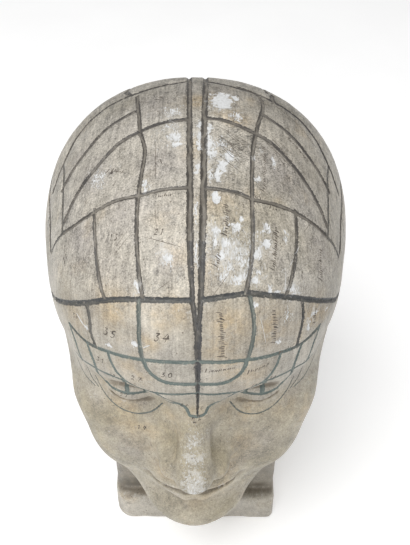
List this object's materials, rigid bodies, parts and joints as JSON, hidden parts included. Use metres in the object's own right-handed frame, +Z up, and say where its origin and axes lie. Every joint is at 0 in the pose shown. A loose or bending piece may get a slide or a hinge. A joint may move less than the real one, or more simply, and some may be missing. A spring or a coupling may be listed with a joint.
{
  "type": "phrenology head",
  "caption": "Plaster head with a calm face on a squared neck block, its skull mapped into regions by grooved lines.",
  "frame": {"origin": "middle of the neck block's flat underside", "axes": "+Z up, the face looks along -Y, +X is the head's left-hand side"},
  "size_m": [0.178, 0.2224, 0.276],
  "materials": {
    "plaster": "aged matte plaster, stained and chipped, with grey and blue-green painted lines"
  },
  "bodies": {
    "root": {"plaster_head": "plaster"}
  },
  "joints": []
}
